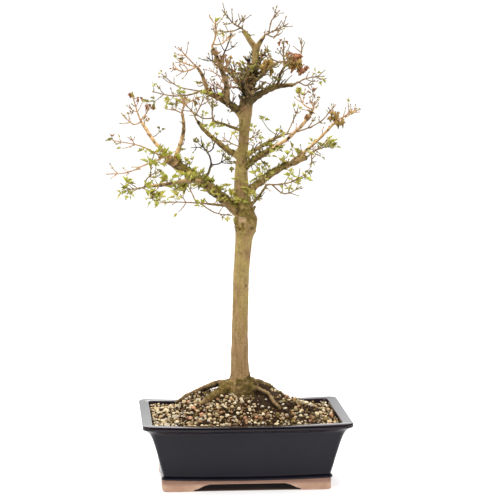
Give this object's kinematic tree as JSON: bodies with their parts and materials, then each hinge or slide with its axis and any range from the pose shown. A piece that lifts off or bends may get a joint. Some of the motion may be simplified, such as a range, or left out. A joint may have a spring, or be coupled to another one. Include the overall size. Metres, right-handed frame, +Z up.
{
  "type": "potted trident maple bonsai",
  "caption": "Trident maple bonsai in early spring: tapering trunk with surface roots, open twiggy crown with young leaves, gravel mound, dark glazed rectangular pot on a bare clay foot.",
  "frame": {"origin": "centre of the bounding box's underside, on the surface that the pot's feet stand on", "axes": "+Z up the trunk, X along the pot's length, +Y towards the back of the tree"},
  "size_m": [0.3889, 0.2601, 0.6911],
  "materials": {
    "glaze": "near-black blue glaze, high gloss on the lip and the ledge, satin on the walls",
    "bare_clay": "unglazed pale terracotta, matt",
    "gravel": "loose bonsai gravel of cream, tan, grey and dark grains, mossy near the trunk",
    "trunk_bark": "smooth tan-olive bark with fine streaks, moss at the foot and the knuckle",
    "bough_bark": "tan to grey-brown bark",
    "twigs_and_leaves": "grey-brown twigs with small bronze and yellow-green young leaves"
  },
  "bodies": {
    "root": {"pot_body": "glaze", "pot_foot": "bare_clay", "soil": "gravel", "trunk": "trunk_bark", "low_left": "bough_bark", "low_left_rise": "bough_bark", "low_left_far": "bough_bark", "low_left_front": "bough_bark", "low_left_dark": "bough_bark", "low_left_back": "bough_bark", "low_right": "bough_bark", "low_right_far": "bough_bark", "low_right_front": "bough_bark", "mid_left": "bough_bark", "mid_left_front": "bough_bark", "mid_right": "bough_bark", "mid_right_tan": "bough_bark", "mid_right_back": "bough_bark", "high_left": "bough_bark", "high_left_rise": "bough_bark", "high_left_tan": "bough_bark", "high_left_back": "bough_bark", "high_right": "bough_bark", "high_right_rise": "bough_bark", "high_right_front": "bough_bark", "crown_right": "bough_bark", "low_back": "bough_bark", "high_back": "bough_bark", "low_left_twigs": "twigs_and_leaves", "low_left_rise_twigs": "twigs_and_leaves", "low_left_far_twigs": "twigs_and_leaves", "low_left_front_twigs": "twigs_and_leaves", "low_left_dark_twigs": "twigs_and_leaves", "low_left_back_twigs": "twigs_and_leaves", "low_right_twigs": "twigs_and_leaves", "low_right_far_twigs": "twigs_and_leaves", "low_right_front_twigs": "twigs_and_leaves", "mid_left_twigs": "twigs_and_leaves", "mid_left_front_twigs": "twigs_and_leaves", "mid_right_tan_twigs": "twigs_and_leaves", "mid_right_back_twigs": "twigs_and_leaves", "high_left_twigs": "twigs_and_leaves", "high_left_rise_twigs": "twigs_and_leaves", "high_left_tan_twigs": "twigs_and_leaves", "high_left_back_twigs": "twigs_and_leaves", "high_right_twigs": "twigs_and_leaves", "high_right_rise_twigs": "twigs_and_leaves", "high_right_front_twigs": "twigs_and_leaves", "crown_right_twigs": "twigs_and_leaves", "leader_twigs": "twigs_and_leaves", "low_back_twigs": "twigs_and_leaves", "high_back_twigs": "twigs_and_leaves"}
  },
  "joints": []
}
